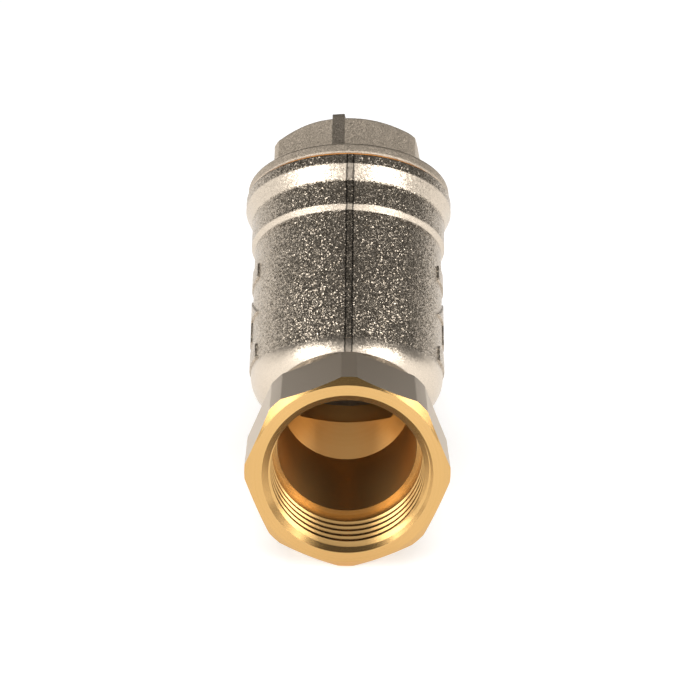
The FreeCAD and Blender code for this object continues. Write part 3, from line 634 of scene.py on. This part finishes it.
class VALVE_OT_stage(bpy.types.Operator):
    """Set the floor, the lights, the sky and the camera"""
    bl_idname = "valve.stage"
    bl_label = "Studio"

    def execute(self, context):
        stage = settings_of(context)[3]
        scene = context.scene
        mesh = bpy.data.meshes.new("floor")
        half = 6.0
        mesh.from_pydata([(-half, -half, LOW.z), (half, -half, LOW.z), (half, half, LOW.z),
                          (-half, half, LOW.z)], [], [(0, 1, 2, 3)])
        # White paper sweep: matt, and pure white to the camera and in the metal.
        material, tree, output, _ = new_material("studio_floor")
        paper = add_node(tree, "ShaderNodeBsdfDiffuse", Color=linear("#FAFAFA")).outputs[0]
        rays = add_node(tree, "ShaderNodeLightPath").outputs
        seen = maths(tree, "MAXIMUM", rays["Is Camera Ray"], maths(
            tree, "MAXIMUM", rays["Is Glossy Ray"], rays["Is Transmission Ray"]))
        glow = add_node(tree, "ShaderNodeEmission", Color=linear("#FFFFFF"),
                        Strength=maths(tree, "MULTIPLY", seen, 0.25)).outputs[0]
        shader = add_node(tree, "ShaderNodeAddShader", i0=paper, i1=glow)
        tree.links.new(shader.outputs[0], output.inputs[0])
        link_piece("floor", mesh, material)

        world = bpy.data.worlds.new("studio")
        scene.world = world
        world.use_nodes = True
        tree = world.node_tree
        tree.nodes.clear()
        sky = add_node(tree, "ShaderNodeTexCoord").outputs["Generated"]
        way = add_node(tree, "ShaderNodeSeparateXYZ", i0=sky).outputs
        front = maths(tree, "MINIMUM", way["Y"], 0.0)
        height = maths(tree, "MULTIPLY_ADD", front, 0.5, way["Z"])
        height = maths(tree, "MULTIPLY_ADD", maths(tree, "MAXIMUM", way["X"], 0.0), 0.20, height)
        level = add_node(tree, "ShaderNodeMapRange", {"interpolation_type": "SMOOTHSTEP"},
                         Value=height, From_Min=0.02, From_Max=0.44, To_Min=1.0, To_Max=0.08)
        background = add_node(tree, "ShaderNodeBackground", Color=linear("#FFFFFF"),
                              Strength=level.outputs[0])
        add_node(tree, "ShaderNodeOutputWorld", i0=background.outputs[0])

        centre = (LOW + HIGH) / 2
        for name, side in (("left_softbox", -1), ("right_softbox", 1)):
            area_light(name, (side * 0.46, LOW.y - 0.46, 0.27), centre, 0.40, 2.4)
        ceiling = bpy.data.objects.new("ceiling", bpy.data.lights.new("ceiling", "SUN"))
        ceiling.data.angle = math.radians(60)
        ceiling.data.energy = 1.8
        ceiling.visible_glossy = False
        scene.collection.objects.link(ceiling)

        back = Vector((math.sin(stage.azimuth) * math.cos(stage.elevation),
                       -math.cos(stage.azimuth) * math.cos(stage.elevation),
                       math.sin(stage.elevation)))
        right = (-back).cross(Vector((0, 0, 1))).normalized()
        up = right.cross(-back)
        tilt = Matrix.Rotation(stage.roll, 3, back)
        right, up = tilt @ right, tilt @ up
        data = bpy.data.cameras.new("camera")
        data.lens = stage.lens
        data.sensor_width = 36
        data.clip_start = 0.01
        camera = bpy.data.objects.new("camera", data)
        place = Vector((stage.aim_side, stage.aim_forward, stage.aim_up)) + back * stage.distance
        turned = Matrix((right, up, back)).transposed().to_4x4()
        camera.matrix_world = Matrix.Translation(place) @ turned
        scene.collection.objects.link(camera)
        scene.camera = camera
        scene.view_settings.view_transform = "Standard"
        return {"FINISHED"}


class VALVE_PT_panel(bpy.types.Panel):
    """Lists the steps and their settings"""
    bl_idname = "VALVE_PT_panel"
    bl_label = "Strainer check valve"
    bl_space_type = "VIEW_3D"
    bl_region_type = "UI"
    bl_category = "Valve"

    def draw(self, context):
        for group in settings_of(context):
            for name in group.bl_rna.properties.keys():
                if name not in ("rna_type", "name"):
                    self.layout.prop(group, name)
        for operator in STEPS:
            self.layout.operator(operator.bl_idname)


STEPS = (VALVE_OT_forgings, VALVE_OT_cartridge, VALVE_OT_screen, VALVE_OT_spring, VALVE_OT_stage)
GROUPS = {"valve_finish": FinishSettings, "valve_screen": ScreenSettings,
          "valve_spring": SpringSettings, "valve_stage": StageSettings}


def register():
    """Register the settings, the operators and the panel."""
    for name, group in GROUPS.items():
        bpy.utils.register_class(group)
        setattr(bpy.types.Scene, name, bpy.props.PointerProperty(type=group))
    for item in STEPS + (VALVE_PT_panel,):
        bpy.utils.register_class(item)


def unregister():
    """Take them all out again."""
    for item in (VALVE_PT_panel,) + STEPS[::-1]:
        bpy.utils.unregister_class(item)
    for name, group in GROUPS.items():
        delattr(bpy.types.Scene, name)
        bpy.utils.unregister_class(group)


def main():
    """Run every step in order."""
    register()
    for operator in STEPS:
        group, name = operator.bl_idname.split(".")
        getattr(getattr(bpy.ops, group), name)()


if __name__ == "__main__":
    main()
